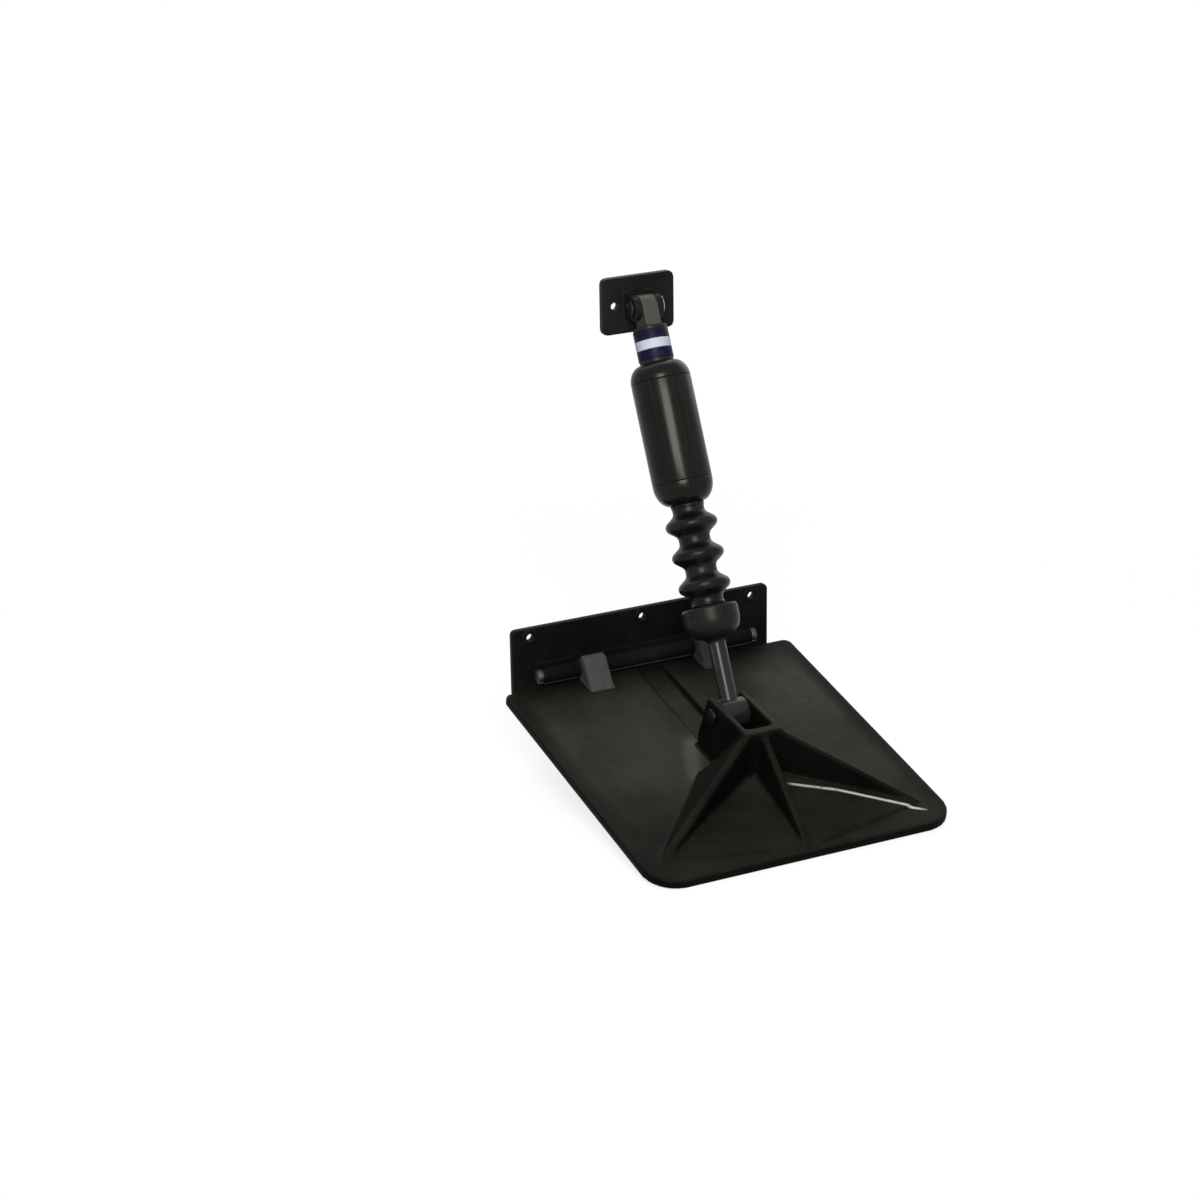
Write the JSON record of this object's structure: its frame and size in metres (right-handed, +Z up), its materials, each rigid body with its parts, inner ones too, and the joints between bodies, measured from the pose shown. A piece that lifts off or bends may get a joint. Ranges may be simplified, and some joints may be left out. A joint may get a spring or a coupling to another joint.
{
  "type": "boat trim tab",
  "caption": "Self-acting boat trim tab: a hinged black plate with a ridged tower, held down by a gas strut in a ribbed boot between two transom brackets.",
  "frame": {"origin": "on the transom face, on the boat-side centre line of the tab, at the height of the hinge pin", "axes": "+X to starboard across the boat, +Y forward into the transom, -Y aft, +Z up"},
  "size_m": [0.2414, 0.2639, 0.3587],
  "materials": {
    "moulded_black": "moulded glass-filled nylon, satin black",
    "plate_black": "moulded composite, fine satin grain, black",
    "barrel_black": "semi-gloss black",
    "rod_end_black": "glossy black moulding",
    "boot_rubber": "moulded rubber, satin black",
    "seal_rubber": "nitrile rubber",
    "stainless": "stainless steel, as drawn",
    "pin_black": "blackened stainless steel, rubbed at the edges",
    "cylinder_steel": "plain steel tube",
    "rod_chrome": "hard chromed rod",
    "piston_alloy": "turned alloy",
    "guide_brass": "plain bush",
    "band": "plain pale band with dark blue edges, no print"
  },
  "bodies": {
    "transom_brackets": {"hinge_bracket": "moulded_black", "hinge_pin": "stainless", "hinge_pin_caps": "stainless", "upper_bracket": "moulded_black", "upper_pivot_pin": "pin_black", "upper_pin_clip": "stainless"},
    "strut_barrel": {"upper_end_fitting": "moulded_black", "neck_band": "band", "upper_cap": "barrel_black", "barrel_sleeve": "barrel_black", "lower_cap": "barrel_black", "gas_cylinder": "cylinder_steel", "cylinder_plug": "cylinder_steel", "rod_guide": "guide_brass", "rod_seal": "seal_rubber", "boot": "boot_rubber"},
    "strut_rod": {"piston_rod": "rod_chrome", "piston": "piston_alloy", "piston_ring": "seal_rubber", "rod_end": "rod_end_black"},
    "tab": {"trim_plate": "plate_black", "lower_pivot_pin": "pin_black", "lower_pin_clip": "stainless"}
  },
  "joints": [
    {"name": "tab_swing", "type": "hinge", "parent": "transom_brackets", "child": "tab", "pos_m": [0, -0.0125, 0], "axis": [-1, 0, 0], "range_deg": [0, 15]},
    {"name": "strut_swing", "type": "hinge", "parent": "transom_brackets", "child": "strut_barrel", "pos_m": [0, -0.016, 0.2725], "axis": [-1, 0, 0], "range_deg": [0, 2.4]},
    {"name": "rod_slide", "type": "slide", "parent": "strut_barrel", "child": "strut_rod", "axis": [0, 0.4353, 0.9003], "range_m": [0, 0.0331], "deforming": ["boot"]}
  ],
  "couplings": [
    {"joint": "strut_swing", "follows": "tab_swing", "ratio": 0.157},
    {"joint": "rod_slide", "follows": "tab_swing", "m_per_rad": 0.1262}
  ]
}
